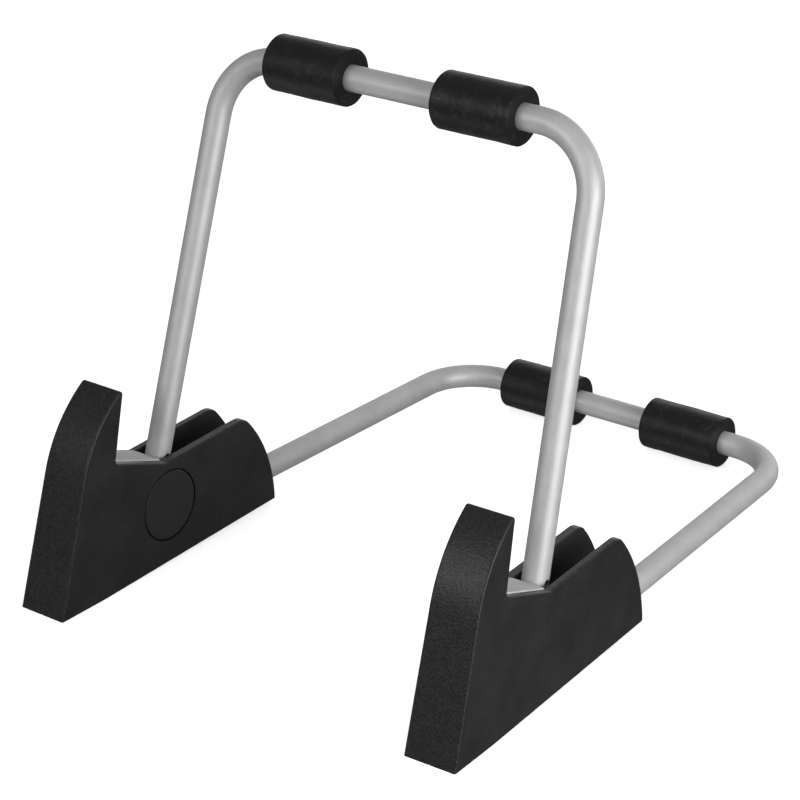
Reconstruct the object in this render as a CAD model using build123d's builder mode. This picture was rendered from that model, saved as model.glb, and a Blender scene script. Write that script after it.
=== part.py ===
from build123d import *
import os
from math import atan2, cos, hypot, radians, sin

# Folding tablet stand: two plastic feet carry the tablet's lower edge, an upper U-shaped tube
# leans back to hold the tablet and folds down over the lower U-shaped tube.
# Frame: +X to the right across the stand, +Y to the rear, +Z up, floor at Z = 0.
# Sizes are in millimetres and angles in degrees.

# ---------------------------------------------------------------- driving dimensions
TUBE_D = 6.0                   # outside diameter of both bent aluminium tubes
TUBE_WALL = 0.75
FIT = 0.02                     # radial gap of a snug fit
GAP = 0.3                      # clearance between parts that pass each other
SLACK = 0.05                   # room round hidden hardware and in the pad's pocket

FOOT_X = 53.8                  # middle of a foot at its pivot, from the stand's middle
TOE = 1.0                      # the feet point slightly towards each other at the rear

PIVOT_U = 37.6                 # pivot axis behind the foot's front edge
PIVOT_Z = 15.2                 # pivot axis above the floor

FOOT_LENGTH = 76.1
FOOT_INNER = 6.45              # the upright inner side face, from the foot's middle
FOOT_OUTER_BASE = 6.6          # the outer side face at the floor
FOOT_OUTER_TOP = 5.3           # the outer side face at the height of the hook's tip
LAND = 14.0                    # flat front part of the base that stands on the floor
HEEL_Z = 2.0                   # the base rises to this height at the rear
CROOK = (9.2, 31.5)            # the straight front face ends here and the hook bends back
HOOK_TIP = (23.8, 50.5)
HOOK_ROOT = (20.0, 32.5)       # inside corner between hook and seat
SEAT_REAR = (37.0, 26.3)       # the seat slopes down to the rear and ends at the cheeks
CHEEK_CORNER = (65.5, 27.3)    # the cheeks' rear end, where the rear face begins
REAR_RADIUS = 37.5             # the rear face is an arc
CORNER_ROUNDS = {HOOK_TIP: 0.8, HOOK_ROOT: 1.0, SEAT_REAR: 3.0, CHEEK_CORNER: 4.2}
EDGE_ROUND = 0.5               # rounding along the side faces, above the crisp base
MOUTH_ROUND = 0.3              # rounding along the slot's top edges
NOTCH_R = 0.6                  # small notch at the front of the base, where the shells meet
NOTCH_HALF = 0.12

SLOT_HALF = 4.0                # half width of the slot for the folding tube
RECLINE = 15.8                 # upper tube behind the vertical when open
FOLD_DIP = 1.0                 # upper tube below the horizontal when folded

UPPER_REACH = 107.2            # pivot axis to the middle of the upper crossbar
UPPER_HALF_TOP = 49.9          # half width between the legs at the crossbar
UPPER_BEND = 15.1
LOWER_REAR = 160.7             # foot front to the middle of the lower crossbar
LOWER_HALF_REAR = 49.8
LOWER_EXIT_HALF = 53.5         # half width between the legs where they leave the feet
LOWER_BEND = 15.5
LOWER_START_U = 46.5           # front end of the lower tube inside the foot

SLEEVE_D = 13.1
UPPER_SLEEVES = {"left": (-35.3, -15.1), "right": (10.5, 30.7)}
LOWER_SLEEVES = {"left": (-32.8, -11.8), "right": (10.2, 31.5)}

EYE_R = 5.0                    # pivot eye on each end of the upper tube
EYE_HALF = 2.0
EYE_ROUND = 0.3
SPIGOT_R = TUBE_D / 2 - TUBE_WALL - FIT
SPIGOT_ROOT = 4.3              # spigot grows out of the eye here, from the pivot axis
SPIGOT_END = 17.0              # spigot's far end, from the pivot axis
TUBE_START = 5.6               # tube's end, from the pivot axis
EYE_PIN_AT = 11.0              # cross pin of the spigot, from the pivot axis
EYE_PIN_R = 0.75
EYE_PIN_HALF = 2.9

BOSS_R = 4.3                   # round faces inside the foot that clamp the eye
BOSS_HALF = 2.55
BOWL_R = 5.7                   # room for the eye
SHOULDER_R = 2.0               # smooth shank of the pivot screw
RUNNING = 0.04                 # radial running fit of the eye on the shank
HEAD_R = 3.0
HEAD_SEAT = 3.45               # under side of the screw head, from the foot's middle
HEAD_H = 1.25
HEAD_ROUND = 0.3
SOCKET_R = 1.25                # hexagon socket in the screw head, across corners
SOCKET_DEPTH = 0.8
THREAD_R = 1.5
THREAD_END = 4.7
INSERT_R = 2.3
INSERT_END = 4.9
WASHER_R = 4.0
WASHER_T = 0.5
CAP_R = 8.55
CAP_GROOVE = 0.4               # ring gap round the cover
CAP_FLOOR = 4.85               # floor of the cover's recess, from the foot's middle
CAP_ROUND = 0.2

TUBE_PIN_U = 53.0              # cross pin that keeps the lower tube in the foot
TUBE_PIN_R = 1.0
TUBE_PIN_HALF = 4.0
DOWELS = [(9.5, 8.0), (15.4, 34.5)]
DOWEL_R = 1.25
DOWEL_HALF = 3.4
DOWEL_BOSS_R = 2.6

CAVITY_HALF = 4.3              # half width of the hollow in the front of the foot
CAVITY = [(3.2, 2.6), (28.0, 2.6), (28.0, 24.8), (18.0, 28.4), (10.8, 28.4)]

PAD_T = 1.1
PAD_PROUD = 0.3                # the pad stands this far above the foot's rims
PAD_HALF = 4.2
PAD_FRONT_GAP = 0.9            # from the inside corner of the hook
PAD_PAST_SEAT = 0.2            # past the rear end of the seat, just short of the slot
POCKET_PAST_SEAT = 0.45        # its pocket opens into the slot
PAD_ROUND = 0.3

# ---------------------------------------------------------------- derived sizes
TUBE_R = TUBE_D / 2
SLEEVE_R = SLEEVE_D / 2
LOWER_Z = SLEEVE_R             # the lower sleeves rest on the floor
FRONT_Y = -(LOWER_REAR + SLEEVE_R) / 2   # the stand is centred on Y = 0
PIVOT_Y = FRONT_Y + PIVOT_U
OUTER_TILT = atan2(FOOT_OUTER_BASE - FOOT_OUTER_TOP, HOOK_TIP[1])
WIDE = 9.0                     # more than any half width of a foot
ALIKE = 0.01                   # directions and places this close count as the same

# Plane of the right foot's middle: local x runs rearward from the front edge, local y is up,
# and the normal points away from the stand's middle.
toe_s, toe_c = sin(radians(TOE)), cos(radians(TOE))
mid_plane = Plane(
    origin=(FOOT_X + PIVOT_U * toe_s, PIVOT_Y - PIVOT_U * toe_c, 0),
    x_dir=(-toe_s, toe_c, 0),
    z_dir=(toe_c, toe_s, 0),
)
# Plane across the hinge axis, at the middle of the right foot.
pivot_plane = Plane(origin=(FOOT_X, PIVOT_Y, PIVOT_Z), x_dir=(0, 1, 0), z_dir=(1, 0, 0))
# Plane of the upper tube: local x is across the stand, local y runs up the leaning legs.
recline_s, recline_c = sin(radians(RECLINE)), cos(radians(RECLINE))
upper_plane = Plane(origin=(0, PIVOT_Y, PIVOT_Z), x_dir=(1, 0, 0), z_dir=(0, -recline_c, recline_s))
lower_plane = Plane(origin=(0, FRONT_Y, LOWER_Z))


def write(part, name):
    """Label one finished piece and write it."""
    part.label = name
    export_step(part, f"parts/{name}.step")


def write_pair(right, name):
    """Write a piece of the right side and its mirror image on the left."""
    with BuildPart() as left:
        mirror(right, about=Plane.YZ)
    write(right, f"{name}_right")
    write(left.part, f"{name}_left")


def upper_leg_x(reach):
    """Half width between the upper legs at a distance from the pivot axis."""
    return FOOT_X + (UPPER_HALF_TOP - FOOT_X) * reach / UPPER_REACH


def lower_leg_x(u):
    """Half width between the lower legs at a distance behind the feet's front."""
    slope = (LOWER_HALF_REAR - LOWER_EXIT_HALF) / (LOWER_REAR - FOOT_LENGTH)
    return LOWER_EXIT_HALF + slope * (u - FOOT_LENGTH)


# ---------------------------------------------------------------- bent tubes
with BuildPart() as upper_tube:
    with BuildLine(upper_plane) as upper_path:
        FilletPolyline(
            (-upper_leg_x(TUBE_START), TUBE_START),
            (-UPPER_HALF_TOP, UPPER_REACH),
            (UPPER_HALF_TOP, UPPER_REACH),
            (upper_leg_x(TUBE_START), TUBE_START),
            radius=UPPER_BEND,
        )
    with BuildSketch(Plane(origin=upper_path.line @ 0, z_dir=upper_path.line % 0)):
        Circle(TUBE_R)
        Circle(TUBE_R - TUBE_WALL, mode=Mode.SUBTRACT)
    sweep()
    with BuildSketch(Plane.YZ.offset(-FOOT_X - WIDE)):
        with Locations((PIVOT_Y + EYE_PIN_AT * recline_s, PIVOT_Z + EYE_PIN_AT * recline_c)):
            Circle(EYE_PIN_R + FIT)
    extrude(amount=2 * (FOOT_X + WIDE), mode=Mode.SUBTRACT)
write(upper_tube.part, "upper_tube")

with BuildPart() as lower_tube:
    with BuildLine(lower_plane) as lower_path:
        FilletPolyline(
            (-lower_leg_x(LOWER_START_U), LOWER_START_U),
            (-LOWER_HALF_REAR, LOWER_REAR),
            (LOWER_HALF_REAR, LOWER_REAR),
            (lower_leg_x(LOWER_START_U), LOWER_START_U),
            radius=LOWER_BEND,
        )
    with BuildSketch(Plane(origin=lower_path.line @ 0, z_dir=lower_path.line % 0)):
        Circle(TUBE_R)
        Circle(TUBE_R - TUBE_WALL, mode=Mode.SUBTRACT)
    sweep()
    with BuildSketch(Plane.YZ.offset(-FOOT_X - WIDE)):
        with Locations((FRONT_Y + TUBE_PIN_U, LOWER_Z)):
            Circle(TUBE_PIN_R + FIT)
    extrude(amount=2 * (FOOT_X + WIDE), mode=Mode.SUBTRACT)
write(lower_tube.part, "lower_tube")


# ---------------------------------------------------------------- foam sleeves on the crossbars
def sleeve(name, bar, span):
    """A plain foam tube pushed on a crossbar, from span[0] to span[1] across the stand."""
    with BuildPart() as tube:
        with BuildSketch(Plane(origin=(span[0], bar[0], bar[1]), z_dir=(1, 0, 0))):
            Circle(SLEEVE_R)
            Circle(TUBE_R + FIT, mode=Mode.SUBTRACT)
        extrude(amount=span[1] - span[0])
    write(tube.part, name)


upper_bar = (PIVOT_Y + UPPER_REACH * recline_s, PIVOT_Z + UPPER_REACH * recline_c)
lower_bar = (FRONT_Y + LOWER_REAR, LOWER_Z)
for side in ("left", "right"):
    sleeve(f"upper_sleeve_{side}", upper_bar, UPPER_SLEEVES[side])
    sleeve(f"lower_sleeve_{side}", lower_bar, LOWER_SLEEVES[side])


# ---------------------------------------------------------------- foot: solid outer form
def side_plane(out, half_base, tilt):
    """Side face of the right foot: out points away from the foot, and the face leans in by tilt."""
    base = mid_plane.origin + out * half_base
    return Plane(origin=base, x_dir=mid_plane.x_dir, z_dir=out * cos(tilt) + Vector(0, 0, sin(tilt)))


outer_side = side_plane(mid_plane.z_dir, FOOT_OUTER_BASE, OUTER_TILT)
inner_side = side_plane(mid_plane.z_dir * -1, FOOT_INNER, 0)


def faces_along(part, normal):
    """Flat faces of a part that look along a direction."""
    return part.faces().filter_by(lambda face: (face.normal_at() - normal).length < ALIKE)


with BuildPart() as foot_form:
    with BuildSketch(mid_plane) as foot_side:
        with BuildLine():
            Line((0, 0), CROOK)
            TangentArc(CROOK, HOOK_TIP, tangent=CROOK)
            Line(HOOK_TIP, HOOK_ROOT)
            Line(HOOK_ROOT, SEAT_REAR)
            Line(SEAT_REAR, CHEEK_CORNER)
            RadiusArc(CHEEK_CORNER, (FOOT_LENGTH, HEEL_Z), REAR_RADIUS)
            Polyline((FOOT_LENGTH, HEEL_Z), (LAND, 0), (0, 0))
        make_face()
        for (u, z), radius in CORNER_ROUNDS.items():
            corner = foot_side.vertices().sort_by_distance((u, z, 0))[0]
            fillet(corner, radius)
    extrude(amount=WIDE, both=True)
    for side_face in (outer_side, inner_side):
        split(bisect_by=side_face, keep=Keep.BOTTOM)
    rims = [edge for side_face in (outer_side, inner_side)
            for face in faces_along(foot_form, side_face.z_dir)
            for edge in face.edges()
            if edge.center().Z > HEEL_Z]
    fillet(rims, EDGE_ROUND)


# ---------------------------------------------------------------- foot: slot, bores and recesses
def from_pivot(along, across, angle):
    """Side-view point on a ray that leaves the pivot at an angle behind the vertical.

    'across' steps square to the ray, towards its front or upper side.
    """
    ray_s, ray_c = sin(radians(angle)), cos(radians(angle))
    return (PIVOT_U + along * ray_s - across * ray_c, PIVOT_Z + along * ray_c + across * ray_s)


def on_seat(along, up):
    """Side-view point on the seat, measured rearward from the hook's root and square to the seat."""
    du, dz = SEAT_REAR[0] - HOOK_ROOT[0], SEAT_REAR[1] - HOOK_ROOT[1]
    run = hypot(du, dz)
    return (HOOK_ROOT[0] + (along * du - up * dz) / run, HOOK_ROOT[1] + (along * dz + up * du) / run)


SEAT_RUN = hypot(SEAT_REAR[0] - HOOK_ROOT[0], SEAT_REAR[1] - HOOK_ROOT[1])
FOLDED = 90 + FOLD_DIP
reach = TUBE_R + GAP
past = 45.0                    # further than the slot's mouth


def at_mouth(edge):
    """True where a wall of the slot meets the rims or the rear face of the foot."""
    u, z, across = mid_plane.to_local_coords(edge @ 0.5)
    on_wall = abs(abs(across) - SLOT_HALF) < ALIKE
    outside = z > SEAT_REAR[1] - ALIKE or u > CHEEK_CORNER[0]
    return on_wall and outside


with BuildPart() as foot_body:
    add(foot_form.part)
    # slot for the folding tube, with a round bowl for its pivot eye
    with BuildSketch(mid_plane):
        with BuildLine():
            Polyline(
                from_pivot(0, reach, RECLINE),
                from_pivot(past, reach, RECLINE),
                from_pivot(2 * past, 0, (RECLINE + FOLDED) / 2),
                from_pivot(past, -reach, FOLDED),
                from_pivot(0, -reach, FOLDED),
                close=True,
            )
        make_face()
        with Locations((PIVOT_U, PIVOT_Z)):
            Circle(BOWL_R)
    extrude(amount=SLOT_HALF, both=True, mode=Mode.SUBTRACT)
    fillet([edge for edge in foot_body.edges() if at_mouth(edge)], MOUTH_ROUND)
    # two round bosses clamp the eye
    for sign in (-1, 1):
        with BuildSketch(pivot_plane.offset(sign * BOSS_HALF)):
            Circle(BOSS_R)
        extrude(amount=sign * (SLOT_HALF + GAP - BOSS_HALF))
    # hollow in the front, with a boss round the lower dowel
    with BuildSketch(mid_plane):
        with BuildLine():
            Polyline(*CAVITY, close=True)
        make_face()
        with Locations(DOWELS[0]):
            Circle(DOWEL_BOSS_R, mode=Mode.SUBTRACT)
    extrude(amount=CAVITY_HALF, both=True, mode=Mode.SUBTRACT)
    with BuildSketch(mid_plane):
        with Locations(*DOWELS):
            Circle(DOWEL_R + FIT)
    extrude(amount=DOWEL_HALF + GAP, both=True, mode=Mode.SUBTRACT)
    # recess of the pivot cover and the screw's stepped hole behind it
    with BuildSketch(mid_plane.offset(-CAP_FLOOR)):
        with Locations((PIVOT_U, PIVOT_Z)):
            Circle(CAP_R + CAP_GROOVE)
    extrude(amount=-WIDE, mode=Mode.SUBTRACT)
    with BuildSketch(pivot_plane.offset(-HEAD_SEAT)):
        Circle(HEAD_R + SLACK)
    extrude(amount=-WIDE, mode=Mode.SUBTRACT)
    with BuildSketch(pivot_plane.offset(-HEAD_SEAT)):
        Circle(SHOULDER_R + FIT)
    extrude(amount=HEAD_SEAT + BOSS_HALF, mode=Mode.SUBTRACT)
    with BuildSketch(pivot_plane.offset(BOSS_HALF - GAP)):
        Circle(INSERT_R + FIT)
    extrude(amount=INSERT_END - BOSS_HALF + GAP, mode=Mode.SUBTRACT)
    # bore of the lower tube and its cross pin
    leg_from = Vector(lower_leg_x(LOWER_START_U - GAP), FRONT_Y + LOWER_START_U - GAP, LOWER_Z)
    leg_to = Vector(lower_leg_x(LOWER_REAR), FRONT_Y + LOWER_REAR, LOWER_Z)
    with BuildSketch(Plane(origin=leg_from, z_dir=leg_to - leg_from)):
        Circle(TUBE_R + FIT)
    extrude(amount=past, mode=Mode.SUBTRACT)
    tube_pin_plane = Plane(
        origin=(lower_leg_x(TUBE_PIN_U), FRONT_Y + TUBE_PIN_U, LOWER_Z), x_dir=(0, 1, 0), z_dir=(1, 0, 0)
    )
    with BuildSketch(tube_pin_plane):
        Circle(TUBE_PIN_R + FIT)
    extrude(amount=TUBE_PIN_HALF + SLACK, both=True, mode=Mode.SUBTRACT)
    # shallow pocket for the seat pad, open to the slot
    with BuildSketch(mid_plane):
        with BuildLine():
            Polyline(
                on_seat(PAD_FRONT_GAP - SLACK, PAD_PROUD - PAD_T),
                on_seat(SEAT_RUN + POCKET_PAST_SEAT, PAD_PROUD - PAD_T),
                on_seat(SEAT_RUN + POCKET_PAST_SEAT, PAD_T),
                on_seat(PAD_FRONT_GAP - SLACK, PAD_T),
                close=True,
            )
        make_face()
    extrude(amount=PAD_HALF + SLACK, both=True, mode=Mode.SUBTRACT)
    # small notch where the two shells meet at the front of the base
    with BuildSketch(mid_plane):
        with Locations((0, 0)):
            Circle(NOTCH_R)
    extrude(amount=NOTCH_HALF, both=True, mode=Mode.SUBTRACT)

with BuildPart() as outer_shell:
    add(foot_body.part)
    split(bisect_by=mid_plane, keep=Keep.TOP)
write_pair(outer_shell.part, "foot_outer_shell")

with BuildPart() as inner_shell:
    add(foot_body.part)
    split(bisect_by=mid_plane, keep=Keep.BOTTOM)
write_pair(inner_shell.part, "foot_inner_shell")

# ---------------------------------------------------------------- pieces carried by the foot
with BuildPart() as seat_pad:
    with BuildSketch(mid_plane):
        with BuildLine():
            Polyline(
                on_seat(PAD_FRONT_GAP, PAD_PROUD - PAD_T),
                on_seat(SEAT_RUN + PAD_PAST_SEAT, PAD_PROUD - PAD_T),
                on_seat(SEAT_RUN + PAD_PAST_SEAT, PAD_PROUD),
                on_seat(PAD_FRONT_GAP, PAD_PROUD),
                close=True,
            )
        make_face()
    extrude(amount=PAD_HALF, both=True)
    fillet(seat_pad.edges().filter_by(Axis(origin=(0, 0, 0), direction=mid_plane.z_dir)), PAD_ROUND)
write_pair(seat_pad.part, "seat_pad")

with BuildPart() as pivot_cover:
    with BuildSketch(mid_plane.offset(-CAP_FLOOR - SLACK)):
        with Locations((PIVOT_U, PIVOT_Z)):
            Circle(CAP_R)
    extrude(amount=-WIDE)
    split(bisect_by=inner_side, keep=Keep.BOTTOM)
    fillet(faces_along(pivot_cover, inner_side.z_dir).edges(), CAP_ROUND)
write_pair(pivot_cover.part, "pivot_cover")

with BuildPart() as pivot_screw:
    with BuildSketch(pivot_plane.offset(-HEAD_SEAT)):
        Circle(HEAD_R)
    extrude(amount=-HEAD_H)
    fillet(pivot_screw.faces().sort_by(Axis.X)[0].edges(), HEAD_ROUND)
    with BuildSketch(pivot_plane.offset(-HEAD_SEAT)):
        Circle(SHOULDER_R)
    extrude(amount=HEAD_SEAT + BOSS_HALF - SLACK)
    with BuildSketch(pivot_plane):
        Circle(THREAD_R)
    extrude(amount=THREAD_END)
    with BuildSketch(pivot_plane.offset(-HEAD_SEAT - HEAD_H)):
        RegularPolygon(SOCKET_R, 6)
    extrude(amount=SOCKET_DEPTH, mode=Mode.SUBTRACT)
write_pair(pivot_screw.part, "pivot_screw")

with BuildPart() as threaded_insert:
    with BuildSketch(pivot_plane.offset(BOSS_HALF)):
        Circle(INSERT_R)
        Circle(THREAD_R + FIT, mode=Mode.SUBTRACT)
    extrude(amount=INSERT_END - BOSS_HALF)
write_pair(threaded_insert.part, "threaded_insert")

for side, sign in (("inner", -1), ("outer", 1)):
    with BuildPart() as washer:
        with BuildSketch(pivot_plane.offset(sign * (EYE_HALF + FIT))):
            Circle(WASHER_R)
            Circle(SHOULDER_R + SLACK, mode=Mode.SUBTRACT)
        extrude(amount=sign * WASHER_T)
    write_pair(washer.part, f"friction_washer_{side}")

with BuildPart() as tube_pin:
    with BuildSketch(tube_pin_plane):
        Circle(TUBE_PIN_R)
    extrude(amount=TUBE_PIN_HALF, both=True)
write_pair(tube_pin.part, "tube_pin")

with BuildPart() as shell_dowels:
    with BuildSketch(mid_plane):
        with Locations(*DOWELS):
            Circle(DOWEL_R)
    extrude(amount=DOWEL_HALF, both=True)
write_pair(shell_dowels.part, "shell_dowels")

# ---------------------------------------------------------------- pivot eyes in the upper tube's ends
eye_from = upper_plane.from_local_coords(Vector(FOOT_X, 0, 0))
eye_to = upper_plane.from_local_coords(Vector(UPPER_HALF_TOP, UPPER_REACH, 0))
leg_dir = (eye_to - eye_from).normalized()
pin_at = eye_from + leg_dir * EYE_PIN_AT

with BuildPart() as pivot_eye:
    with BuildSketch(pivot_plane):
        Circle(EYE_R)
    extrude(amount=EYE_HALF, both=True)
    fillet(pivot_eye.edges().filter_by(GeomType.CIRCLE), EYE_ROUND)
    with BuildSketch(Plane(origin=eye_from + leg_dir * SPIGOT_ROOT, z_dir=leg_dir)):
        Circle(SPIGOT_R)
    extrude(amount=SPIGOT_END - SPIGOT_ROOT)
    with BuildSketch(pivot_plane):
        Circle(SHOULDER_R + RUNNING)
    extrude(amount=WIDE, both=True, mode=Mode.SUBTRACT)
    with BuildSketch(Plane(origin=pin_at, x_dir=(0, 1, 0), z_dir=(1, 0, 0))):
        Circle(EYE_PIN_R + FIT)
    extrude(amount=WIDE, both=True, mode=Mode.SUBTRACT)
write_pair(pivot_eye.part, "pivot_eye")

with BuildPart() as eye_pin:
    with BuildSketch(Plane(origin=pin_at, x_dir=(0, 1, 0), z_dir=(1, 0, 0))):
        Circle(EYE_PIN_R)
    extrude(amount=EYE_PIN_HALF, both=True)
write_pair(eye_pin.part, "eye_pin")
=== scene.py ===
from math import cos, pi, radians, sin, tau

import bmesh
import bpy
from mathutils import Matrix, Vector, noise


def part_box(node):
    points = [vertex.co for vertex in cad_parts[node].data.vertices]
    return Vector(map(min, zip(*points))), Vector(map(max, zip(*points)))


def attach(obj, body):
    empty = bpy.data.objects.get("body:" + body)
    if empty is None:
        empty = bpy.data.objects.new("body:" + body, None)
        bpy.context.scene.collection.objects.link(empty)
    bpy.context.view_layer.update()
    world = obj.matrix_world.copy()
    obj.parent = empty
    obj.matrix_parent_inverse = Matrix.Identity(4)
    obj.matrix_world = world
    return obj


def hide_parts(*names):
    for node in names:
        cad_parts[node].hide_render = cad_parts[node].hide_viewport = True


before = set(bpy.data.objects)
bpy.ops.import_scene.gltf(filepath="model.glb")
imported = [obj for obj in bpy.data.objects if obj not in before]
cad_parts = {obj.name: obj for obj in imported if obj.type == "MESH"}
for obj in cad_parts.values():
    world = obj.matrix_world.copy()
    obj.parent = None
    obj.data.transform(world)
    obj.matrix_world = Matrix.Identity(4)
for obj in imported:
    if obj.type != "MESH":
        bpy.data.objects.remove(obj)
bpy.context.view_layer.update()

# Folding tablet stand. The CAD nodes keep their shapes and get materials here; the foam sleeves
# and the seat pads are meshes of their own. Lengths are in metres, and MM turns millimetres into them.
MM = 0.001

# ---------------------------------------------------------------- camera
AZIMUTH, ELEVATION = radians(36.2), radians(24.26)
TARGET = Vector((-0.1, -19.1, 45.0)) * MM
DISTANCE = 616 * MM
SENSOR_WIDTH = 36
LENS = 121.1
CLIP_START = 0.01


def direction(azimuth, elevation):
    """Unit vector from the stand towards a direction; azimuth 0 is the front, 90 the right."""
    return Vector((sin(azimuth) * cos(elevation), -cos(azimuth) * cos(elevation), sin(elevation)))


def look_from(piece, aim, way, distance):
    """Puts a camera or lamp at a distance from a point, looking at it."""
    piece.location = aim + way * distance
    piece.rotation_euler = way.to_track_quat("Z", "Y").to_euler()
    bpy.context.collection.objects.link(piece)


camera = bpy.data.objects.new("camera", bpy.data.cameras.new("camera"))
camera.data.sensor_width = SENSOR_WIDTH
camera.data.lens = LENS
camera.data.clip_start = CLIP_START
look_from(camera, TARGET, direction(AZIMUTH, ELEVATION), DISTANCE)
bpy.context.scene.camera = camera


# ---------------------------------------------------------------- node helpers
class Shader:
    """A material's node tree, with short calls for the nodes used here; textures scale per millimetre."""

    def __init__(self, name):
        self.material = bpy.data.materials.new(name)
        self.material.use_nodes = True
        self.nodes = self.material.node_tree.nodes
        self.links = self.material.node_tree.links
        self.surface = self.nodes["Principled BSDF"]
        self.position = self.nodes.new("ShaderNodeTexCoord").outputs["Object"]

    def set(self, **values):
        """Sets the shader's own sockets to constants."""
        for key, value in values.items():
            self.surface.inputs[key.replace("_", " ")].default_value = value

    def feed(self, socket, output):
        self.links.new(output, self.surface.inputs[socket])

    def plug(self, socket, value):
        """Gives a socket a number, a colour or another node's output."""
        if isinstance(value, (int, float)):
            socket.default_value = value
        elif isinstance(value, tuple):
            socket.default_value = (*value, 1)
        else:
            self.links.new(value, socket)

    def stretched(self, scale, turn=(0, 0, 0)):
        """The position, scaled along each axis, for noise that is drawn out along one of them."""
        node = self.nodes.new("ShaderNodeMapping")
        node.inputs["Scale"].default_value = scale
        node.inputs["Rotation"].default_value = turn
        self.links.new(self.position, node.inputs["Vector"])
        return node.outputs[0]

    def axis(self, vector, name):
        """One component of a vector."""
        node = self.nodes.new("ShaderNodeSeparateXYZ")
        self.links.new(vector, node.inputs[0])
        return node.outputs[name]

    def noise(self, per_mm, detail=2.0, rough=0.5, where=None):
        node = self.nodes.new("ShaderNodeTexNoise")
        node.inputs["Scale"].default_value = per_mm / MM
        node.inputs["Detail"].default_value = detail
        node.inputs["Roughness"].default_value = rough
        self.links.new(where or self.position, node.inputs["Vector"])
        return node.outputs["Fac"]

    def cells(self, per_mm):
        node = self.nodes.new("ShaderNodeTexVoronoi")
        node.inputs["Scale"].default_value = per_mm / MM
        self.links.new(self.position, node.inputs["Vector"])
        return node.outputs["Distance"]

    def span(self, value, low, high, to_low=0.0, to_high=1.0):
        """Maps a range of values to another and holds it there."""
        node = self.nodes.new("ShaderNodeMapRange")
        self.links.new(value, node.inputs["Value"])
        for key, number in zip(("From Min", "From Max", "To Min", "To Max"), (low, high, to_low, to_high)):
            node.inputs[key].default_value = number
        return node.outputs["Result"]

    def math(self, kind, a, b=0):
        node = self.nodes.new("ShaderNodeMath")
        node.operation = kind
        self.plug(node.inputs[0], a)
        self.plug(node.inputs[1], b)
        return node.outputs[0]

    def weighted(self, a, share, b):
        """A share of one value with the rest of another."""
        return self.math("ADD", self.math("MULTIPLY", a, share), self.math("MULTIPLY", b, 1 - share))

    def mix(self, factor, low, high, kind="RGBA"):
        """Between two colours, or with kind FLOAT two values, by a factor."""
        node = self.nodes.new("ShaderNodeMix")
        node.data_type = kind
        self.links.new(factor, node.inputs["Factor"])
        self.plug(node.inputs["A"], low)
        self.plug(node.inputs["B"], high)
        return node.outputs["Result"]

    def bump(self, height, depth_mm, strength=1.0, under=None):
        node = self.nodes.new("ShaderNodeBump")
        node.inputs["Distance"].default_value = depth_mm * MM
        node.inputs["Strength"].default_value = strength
        self.links.new(height, node.inputs["Height"])
        if under:
            self.links.new(under, node.inputs["Normal"])
        return node.outputs[0]

    def side_mask(self):
        """1 on faces that look across the stand, 0 on the front, top and rear faces."""
        normal = self.nodes.new("ShaderNodeNewGeometry").outputs["Normal"]
        return self.span(self.math("ABSOLUTE", self.axis(normal, "X")), 0.80, 0.97)


BLUE_CAST = 1.02                               # blue over red and green in the black plastic


def grey(value):
    """A grey with a trace of blue."""
    return (value, value, value * BLUE_CAST)


# ---------------------------------------------------------------- materials
RECLINE = radians(15.8)                        # upper tube behind the vertical
LEGS_FROM, BAR_TO = 42 * MM, 32 * MM           # in x, where a tube's legs begin and where its bar ends


def foot_plastic():
    """Black moulded plastic: a speckled grain on the edge faces, finer and smoother on the sides."""
    s = Shader("foot_plastic")
    side = s.side_mask()
    speckle = s.noise(1.9, detail=3, rough=0.65)
    fine = s.noise(6.5, detail=2)
    cloud = s.noise(0.09, detail=4, rough=0.55)
    fleck = s.span(s.noise(3.4, detail=1), 0.56, 0.70)
    ground = s.mix(s.span(speckle, 0.38, 0.62), grey(0.004), grey(0.020))
    worn = s.weighted(cloud, 0.6, speckle)
    smooth = s.mix(s.span(worn, 0.40, 0.60), grey(0.010), grey(0.021))
    s.feed("Base Color", s.mix(side, s.mix(fleck, ground, grey(0.036)), smooth))
    rubbed = s.span(s.noise(0.22, detail=5, rough=0.6), 0.4, 0.75, 0.0, 0.07)
    rough = s.math("ADD", s.span(side, 0, 1, 0.40, 0.50), s.span(fine, 0.3, 0.7, -0.03, 0.03))
    s.feed("Roughness", s.math("SUBTRACT", rough, rubbed))
    grain = s.bump(s.math("MULTIPLY", s.span(side, 0, 1, 1.0, 0.55), speckle), 0.085)
    s.feed("Normal", s.bump(fine, 0.008, 0.5, under=grain))
    s.set(Specular_IOR_Level=0.42)
    return s.material


def cover_plastic():
    """The same plastic on the round covers, without the coarse speckle."""
    s = Shader("cover_plastic")
    fine = s.noise(5.5, detail=3)
    cloud = s.noise(0.12, detail=3)
    s.feed("Base Color", s.mix(s.span(cloud, 0.35, 0.65), grey(0.014), grey(0.019)))
    s.feed("Roughness", s.span(fine, 0.3, 0.7, 0.44, 0.52))
    s.feed("Normal", s.bump(fine, 0.010, 0.6))
    return s.material


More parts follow.
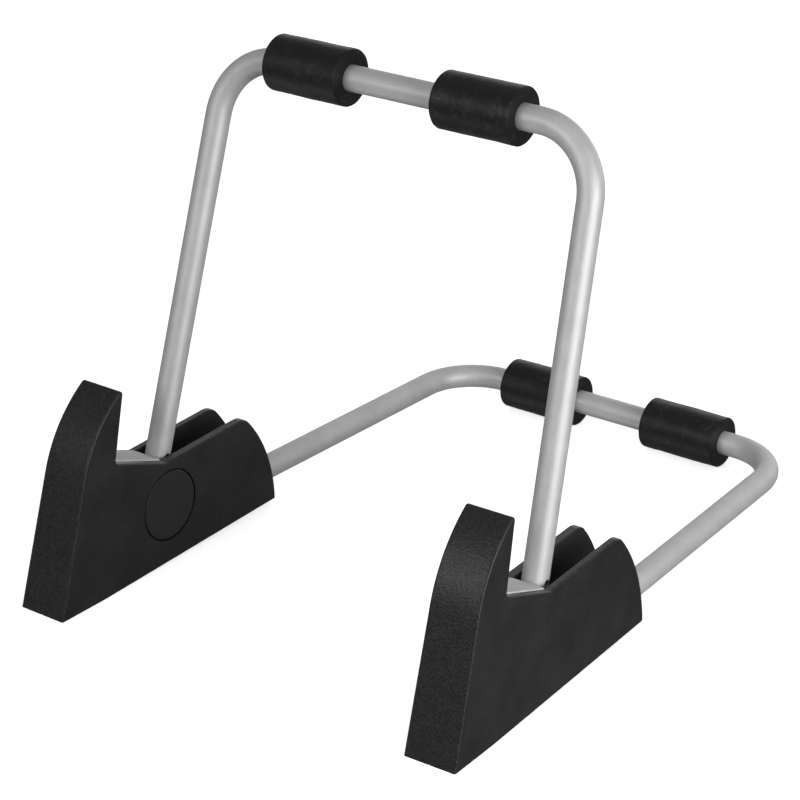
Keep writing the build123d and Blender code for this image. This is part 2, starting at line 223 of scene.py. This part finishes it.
def anodised(name, leg_turn):
    """Satin anodised tube: drawn lines along the legs and the bar, soft blotches, faint scuffs."""
    s = Shader(name)
    along_leg = s.noise(2.2, detail=3, where=s.stretched((1, 1, 0.02), leg_turn))
    along_bar = s.noise(2.2, detail=3, where=s.stretched((0.02, 1, 1)))
    on_bar = s.span(s.math("ABSOLUTE", s.axis(s.position, "X")), LEGS_FROM, BAR_TO)
    lines = s.mix(on_bar, along_leg, along_bar, kind="FLOAT")
    tint = s.weighted(s.noise(0.15, detail=4), 0.6, lines)
    s.feed("Base Color", s.mix(s.span(tint, 0.38, 0.62), (0.58, 0.583, 0.59), (0.66, 0.66, 0.665)))
    scuff = s.span(s.noise(0.5, detail=6, rough=0.7), 0.58, 0.75, 0.0, 0.08)
    s.feed("Roughness", s.math("ADD", s.span(lines, 0.3, 0.7, 0.50, 0.58), scuff))
    s.feed("Normal", s.bump(s.noise(7.0, detail=2), 0.004, 0.5, under=s.bump(lines, 0.006, 0.5)))
    s.set(Metallic=0.4)
    return s.material


def foam_rubber():
    """Black closed-cell foam: fine pores, a skin with pale handling marks, soft sheen."""
    s = Shader("foam_rubber")
    mottle = s.noise(1.1, detail=6, rough=0.68)
    rubbed = s.span(s.noise(0.28, detail=4, rough=0.6), 0.48, 0.60)
    marks = s.math("MULTIPLY", rubbed, s.span(mottle, 0.48, 0.62))
    s.feed("Base Color", s.mix(marks, (0.0030, 0.0030, 0.0032), (0.024, 0.024, 0.0245)))
    rough = s.span(mottle, 0.3, 0.7, 0.42, 0.54)
    s.feed("Roughness", s.math("SUBTRACT", rough, s.math("MULTIPLY", marks, 0.1)))
    s.feed("Normal", s.bump(s.cells(4.2), 0.02, 0.35, under=s.bump(mottle, 0.07, 0.7)))
    s.set(Sheen_Weight=0.03, Sheen_Roughness=0.45, Specular_IOR_Level=0.36)
    return s.material


def pad_foam():
    """Pale grey soft pad with a fine matt cell structure and slight soiling."""
    s = Shader("pad_foam")
    cells = s.cells(3.5)
    dirt = s.span(s.noise(0.25, detail=4), 0.35, 0.7)
    s.feed("Base Color", s.mix(dirt, (0.63, 0.63, 0.635), (0.54, 0.54, 0.545)))
    s.feed("Roughness", s.span(cells, 0.0, 0.5, 0.78, 0.92))
    s.feed("Normal", s.bump(cells, 0.03, 0.5))
    s.set(Sheen_Weight=0.2, Sheen_Roughness=0.5)
    return s.material


def plain_metal(name, colour, roughness, lines=1.5):
    """Small turned or cast hardware: fine machining lines in its colour and its roughness."""
    s = Shader(name)
    marks = s.noise(lines, detail=3, where=s.stretched((0.1, 1, 1)))
    shaded = tuple(channel * 0.86 for channel in colour)
    s.feed("Base Color", s.mix(s.span(marks, 0.3, 0.7), shaded, colour))
    s.feed("Roughness", s.span(marks, 0.3, 0.7, roughness - 0.05, roughness + 0.06))
    s.feed("Normal", s.bump(marks, 0.005, 0.5))
    s.set(Metallic=1.0)
    return s.material


def paint(node, material):
    """Gives a CAD node one material all over."""
    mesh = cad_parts[node].data
    mesh.materials.clear()
    mesh.materials.append(material)
    for polygon in mesh.polygons:
        polygon.material_index = 0


materials = {
    "foot": foot_plastic(),
    "cover": cover_plastic(),
    "upper": anodised("anodised_upper", (-RECLINE, 0, 0)),
    "lower": anodised("anodised_lower", (radians(90), 0, 0)),
    "foam": foam_rubber(),
    "pad": pad_foam(),
    "steel": plain_metal("plated_steel", (0.55, 0.56, 0.58), 0.3),
    "zinc": plain_metal("cast_zinc", (0.42, 0.43, 0.44), 0.45, lines=0.8),
    "brass": plain_metal("turned_brass", (0.80, 0.58, 0.27), 0.28),
}
FINISH = {                                     # how a CAD node's name starts, and its material
    "upper_tube": "upper", "lower_tube": "lower",
    "foot_outer_shell": "foot", "foot_inner_shell": "foot", "pivot_cover": "cover",
    "pivot_screw": "steel", "friction_washer": "steel", "tube_pin": "steel",
    "shell_dowels": "steel", "eye_pin": "steel",
    "pivot_eye": "zinc", "threaded_insert": "brass",
}
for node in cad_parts:
    for start, finish in FINISH.items():
        if node.startswith(start):
            paint(node, materials[finish])


# ---------------------------------------------------------------- foam sleeves
BORE_R = 3.02 * MM                             # the sleeve's bore, a snug fit on the tube
ROLL, ROLL_STEPS = 0.25 * MM, 4                # radius of the rolled edges at the ends, and its steps
PITCH = 0.5 * MM                               # mesh size along the foam
TURNS = 120                                    # mesh points round the foam
WAVE, WAVE_SIZE = 0.10 * MM, 5.5 * MM          # slow unevenness of the skin: depth and size
RIPPLE, RIPPLE_SIZE = 0.035 * MM, 1.6 * MM     # and a finer unevenness over it
DRIFT, DRIFT_SIZE = 0.004, 3 * MM              # shift along the sleeve, as a share of the way from its middle
FLOOR_GAP = 0.02 * MM                          # the skin stays this far above the floor


def soft_profile(half_length, outer):
    """Closed half section of a sleeve as (along, radius) points, with small rolled edges."""
    corners = [(half_length, outer, 1, 1), (-half_length, outer, -1, 1),
               (-half_length, BORE_R, -1, -1), (half_length, BORE_R, 1, -1)]
    points = []
    for quarter, (along, radius, out, up) in enumerate(corners):
        for step in range(ROLL_STEPS + 1):
            angle = (quarter + step / ROLL_STEPS) * pi / 2
            points.append((along + ROLL * (cos(angle) - out), radius + ROLL * (sin(angle) - up)))
    return points


def resampled(points):
    """Adds points on the long stretches, so that the foam's skin can be moved."""
    result = []
    for a, b in zip(points, points[1:] + points[:1]):
        count = max(1, round((Vector(b) - Vector(a)).length / PITCH))
        result += [tuple(Vector(a).lerp(Vector(b), i / count)) for i in range(count)]
    return result


def foam_point(along, radius, angle, outer, seed):
    """A point of the foam from its middle, moved a little in and out the nearer it is to the skin."""
    spot = Vector((along, radius * cos(angle), radius * sin(angle)))
    skin = min(1, max(0, (radius - BORE_R) / (outer - BORE_R)))
    wave = noise.noise((spot + Vector((seed, 0, 0))) / WAVE_SIZE) * WAVE
    ripple = noise.noise((spot + Vector((0, seed, 0))) / RIPPLE_SIZE) * RIPPLE
    radius += (wave + ripple) * skin
    along *= 1 + DRIFT * noise.noise(spot / DRIFT_SIZE) * skin
    return Vector((along, radius * cos(angle), radius * sin(angle)))


def sleeve(name, body, seed):
    """A foam sleeve in the space of its CAD node: a fine tube whose skin is slightly uneven."""
    low, high = (Vector(corner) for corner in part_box(name))
    middle = (low + high) / 2
    outer = (high.z - low.z) / 2
    section = resampled(soft_profile((high.x - low.x) / 2, outer))
    mesh = bmesh.new()
    rings = []
    for k in range(TURNS):
        ring = []
        for along, radius in section:
            point = middle + foam_point(along, radius, tau * k / TURNS, outer, seed)
            point.z = max(point.z, FLOOR_GAP)
            ring.append(mesh.verts.new(point))
        rings.append(ring)
    for ring, after in zip(rings, rings[1:] + rings[:1]):
        for i in range(len(section)):
            j = (i + 1) % len(section)
            mesh.faces.new((ring[i], ring[j], after[j], after[i]))
    bmesh.ops.recalc_face_normals(mesh, faces=mesh.faces)
    data = bpy.data.meshes.new(name + "_foam")
    mesh.to_mesh(data)
    mesh.free()
    data.polygons.foreach_set("use_smooth", [True] * len(data.polygons))
    data.materials.append(materials["foam"])
    piece = bpy.data.objects.new(name + "_foam", data)
    bpy.context.collection.objects.link(piece)
    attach(piece, body)
    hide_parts(name)


for i, side in enumerate(("left", "right")):
    sleeve(f"upper_sleeve_{side}", "upper_frame", seed=0.31 + i)
    sleeve(f"lower_sleeve_{side}", "base", seed=2.47 + i)


# ---------------------------------------------------------------- seat pads
PAD_VOXEL = 0.16 * MM
PAD_SMOOTHING, PAD_PASSES = 0.6, 6             # rolls the pad's edges over
DENT, DENT_SIZE = 0.05 * MM, 2.5 * MM          # unevenness of the pad's faces: depth and size


def seat_pad(side):
    """A soft pad grown from its CAD slab: remeshed, its edges rolled over and its faces a little uneven."""
    name = f"seat_pad_{side}"
    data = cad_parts[name].data.copy()
    data.name = name + "_soft"
    piece = bpy.data.objects.new(name + "_soft", data)
    bpy.context.collection.objects.link(piece)
    remesh = piece.modifiers.new("remesh", "REMESH")
    remesh.mode = "VOXEL"
    remesh.voxel_size = PAD_VOXEL
    smooth = piece.modifiers.new("roll_edges", "SMOOTH")
    smooth.factor = PAD_SMOOTHING
    smooth.iterations = PAD_PASSES
    graph = bpy.context.evaluated_depsgraph_get()
    soft = bpy.data.meshes.new_from_object(piece.evaluated_get(graph))
    piece.modifiers.clear()
    piece.data = soft
    for vertex in soft.vertices:
        vertex.co += vertex.normal * noise.noise(vertex.co / DENT_SIZE) * DENT
    soft.polygons.foreach_set("use_smooth", [True] * len(soft.polygons))
    soft.materials.clear()
    soft.materials.append(materials["pad"])
    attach(piece, "base")
    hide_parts(name)


for side in ("left", "right"):
    seat_pad(side)


# ---------------------------------------------------------------- floor and light
# The pale floor sweeps up into a dome far away: radius and height of each ring.
DOME = [(1.0, 0.0), (3.0, 0.0), (3.6, 0.12), (3.95, 0.45), (4.0, 1.0), (3.4, 2.6), (2.0, 3.6)]
DOME_SECTORS = 64
FLOOR_GLOW = 0.72                              # the floor's own light, which grows to 1 at GLOW_HEIGHT
GLOW_HEIGHT = 0.5


def studio_floor():
    """A pale floor and dome, evenly bright, which only the camera sees and the stand's shadow crosses."""
    mesh = bmesh.new()
    loops = [[mesh.verts.new((r * cos(tau * k / DOME_SECTORS), r * sin(tau * k / DOME_SECTORS), z))
              for k in range(DOME_SECTORS)] for r, z in DOME]
    for loop, after in zip(loops, loops[1:]):
        for k in range(DOME_SECTORS):
            mesh.faces.new((loop[k], loop[k - 1], after[k - 1], after[k]))
    mesh.faces.new(loops[0])
    mesh.faces.new(list(reversed(loops[-1])))
    data = bpy.data.meshes.new("studio_floor")
    mesh.to_mesh(data)
    mesh.free()
    s = Shader("studio_floor")
    wide = s.span(s.noise(0.02, detail=2), 0.3, 0.7)
    s.feed("Base Color", s.mix(wide, (0.90, 0.90, 0.90), (0.93, 0.93, 0.93)))
    s.feed("Emission Strength", s.span(s.axis(s.position, "Z"), 0.0, GLOW_HEIGHT, FLOOR_GLOW, 1.0))
    s.set(Roughness=0.9, Specular_IOR_Level=0.1, Emission_Color=(1, 1, 1, 1))
    data.materials.append(s.material)
    piece = bpy.data.objects.new("studio_floor", data)
    piece.visible_diffuse = False
    piece.visible_glossy = False
    piece.visible_shadow = False
    bpy.context.collection.objects.link(piece)


AIM = Vector((0, 0, 50 * MM))                  # the lights look at the stand's middle
SOFTBOXES = {                                  # azimuth and elevation, distance, width and height, radiance
    "key_light": (-15, 25, 0.9, 0.42, 0.34, 4.5),
    "side_light": (74, 10, 0.50, 0.40, 0.26, 5.4),
    "rear_light": (188, 14, 1.2, 2.0, 0.7, 1.1),
    "high_light": (0, 88, 1.1, 1.6, 1.6, 0.26),
    "low_light": (-40, -42, 0.9, 0.9, 0.4, 0.8),
}
WORLD_GREY, WORLD_STRENGTH = 0.8, 0.21


def softbox(name, azimuth, elevation, distance, width, height, radiance):
    """A rectangular area light that looks at the stand from a direction."""
    lamp = bpy.data.lights.new(name, "AREA")
    lamp.shape = "RECTANGLE"
    lamp.size, lamp.size_y = width, height
    lamp.energy = radiance * pi * width * height
    piece = bpy.data.objects.new(name, lamp)
    piece.visible_camera = False
    look_from(piece, AIM, direction(radians(azimuth), radians(elevation)), distance)


studio_floor()
for name, values in SOFTBOXES.items():
    softbox(name, *values)

world = bpy.data.worlds.new("studio")
world.use_nodes = True
background = world.node_tree.nodes["Background"]
background.inputs["Color"].default_value = (WORLD_GREY, WORLD_GREY, WORLD_GREY, 1)
background.inputs["Strength"].default_value = WORLD_STRENGTH
bpy.context.scene.world = world
bpy.context.scene.view_settings.view_transform = "Standard"
